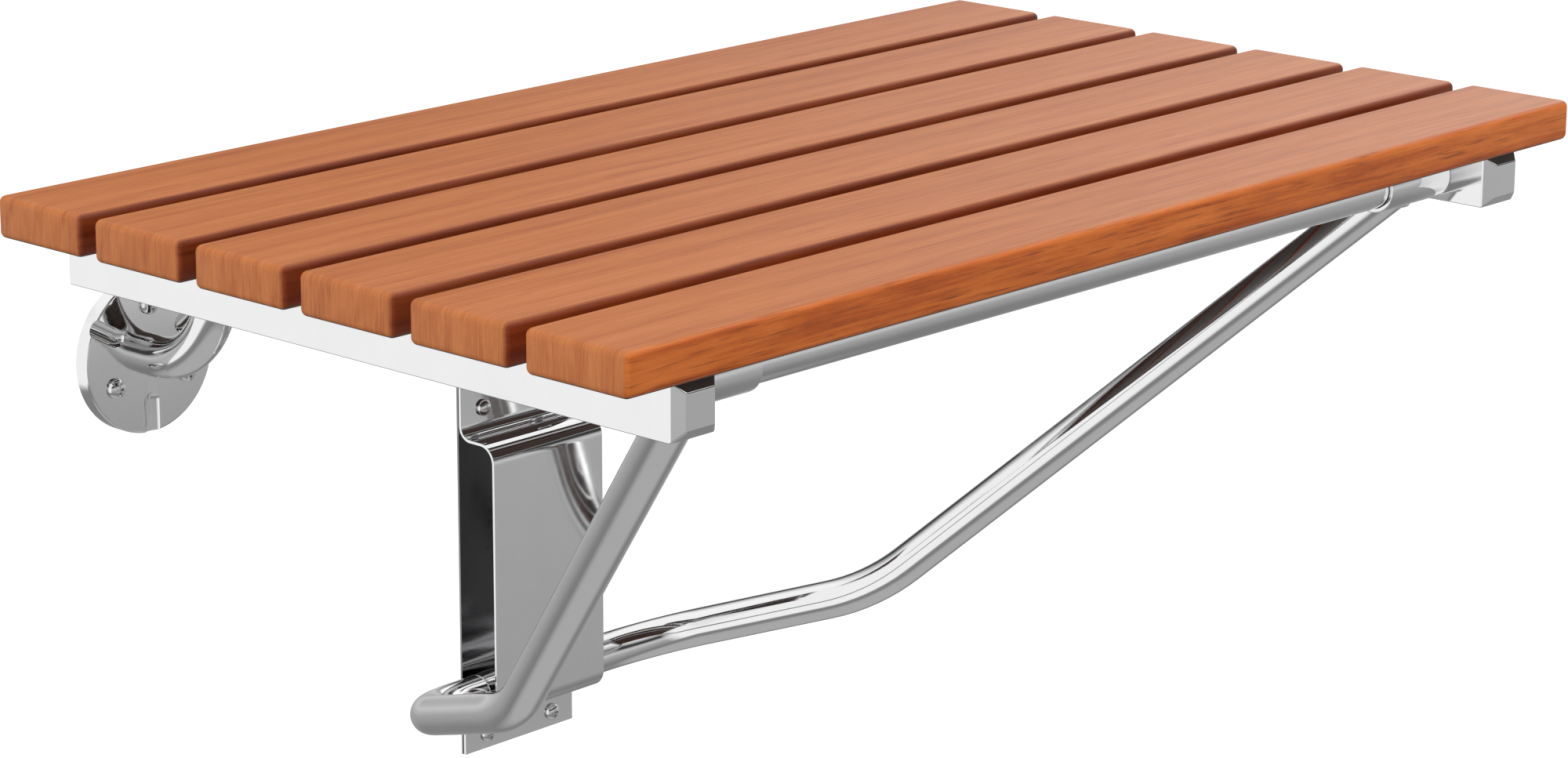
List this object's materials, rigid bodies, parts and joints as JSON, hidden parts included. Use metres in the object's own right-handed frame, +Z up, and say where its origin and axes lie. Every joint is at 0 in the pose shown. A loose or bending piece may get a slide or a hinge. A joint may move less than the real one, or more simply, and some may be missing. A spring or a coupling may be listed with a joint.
{
  "type": "wall-mounted fold-up shower seat",
  "caption": "Slatted teak seat on two chromed rails that folds up against the wall, held by elbow arms on round flanges and a swinging tube leg kept in a wall guide.",
  "frame": {"origin": "centre of the guide's flat back, on the wall plane", "axes": "+X along the slats, +Y into the wall, +Z up; the seat reaches out along -Y and its top is at Z = 0.247 m"},
  "size_m": [0.66, 0.4097, 0.346],
  "materials": {
    "teak": "oiled satin teak, grain along the slats, richer and darker on the edges",
    "chrome_tube": "polished chrome, mirror bright",
    "guide_steel": "polished steel that looks dark inside the guide",
    "screw_steel": "bright pan heads with a crossed recess"
  },
  "bodies": {
    "wall_mount": {"wall_flange_left": "chrome_tube", "wall_flange_right": "chrome_tube", "wall_arm_left": "chrome_tube", "wall_arm_right": "chrome_tube", "guide_back": "guide_steel", "guide_strap": "chrome_tube", "flange_screw_left_1": "screw_steel", "flange_screw_left_2": "screw_steel", "flange_screw_left_3": "screw_steel", "flange_screw_right_1": "screw_steel", "flange_screw_right_2": "screw_steel", "flange_screw_right_3": "screw_steel", "guide_screw_top_left": "screw_steel", "guide_screw_top_right": "screw_steel", "guide_screw_bottom_left": "screw_steel", "guide_screw_bottom_right": "screw_steel"},
    "seat": {"slat_1": "teak", "slat_2": "teak", "slat_3": "teak", "slat_4": "teak", "slat_5": "teak", "slat_6": "teak", "rail_left": "chrome_tube", "rail_right": "chrome_tube", "front_bar": "chrome_tube", "rear_bar": "chrome_tube", "slat_screw_left_1": "screw_steel", "slat_screw_left_2": "screw_steel", "slat_screw_left_3": "screw_steel", "slat_screw_left_4": "screw_steel", "slat_screw_left_5": "screw_steel", "slat_screw_left_6": "screw_steel", "slat_screw_right_1": "screw_steel", "slat_screw_right_2": "screw_steel", "slat_screw_right_3": "screw_steel", "slat_screw_right_4": "screw_steel", "slat_screw_right_5": "screw_steel", "slat_screw_right_6": "screw_steel"},
    "leg": {"leg_left": "chrome_tube", "leg_right": "chrome_tube"},
    "guide_bar": {"guide_bar": "chrome_tube"}
  },
  "joints": [
    {"name": "seat_fold", "type": "hinge", "parent": "wall_mount", "child": "seat", "pos_m": [0, -0.0577, 0.2143], "axis": [-1, 0, 0], "range_deg": [0, 78]},
    {"name": "leg_swing", "type": "hinge", "parent": "seat", "child": "leg", "pos_m": [0, -0.3697, 0.2143], "axis": [1, 0, 0], "range_deg": [0, 40]},
    {"name": "guide_bar_slide", "type": "slide", "parent": "wall_mount", "child": "guide_bar", "axis": [0, 0, 1], "range_m": [0, 0.1215]}
  ],
  "couplings": [
    {"joint": "leg_swing", "follows": "seat_fold", "ratio": 0.5107},
    {"joint": "guide_bar_slide", "follows": "seat_fold", "m_per_rad": 0.0892}
  ]
}
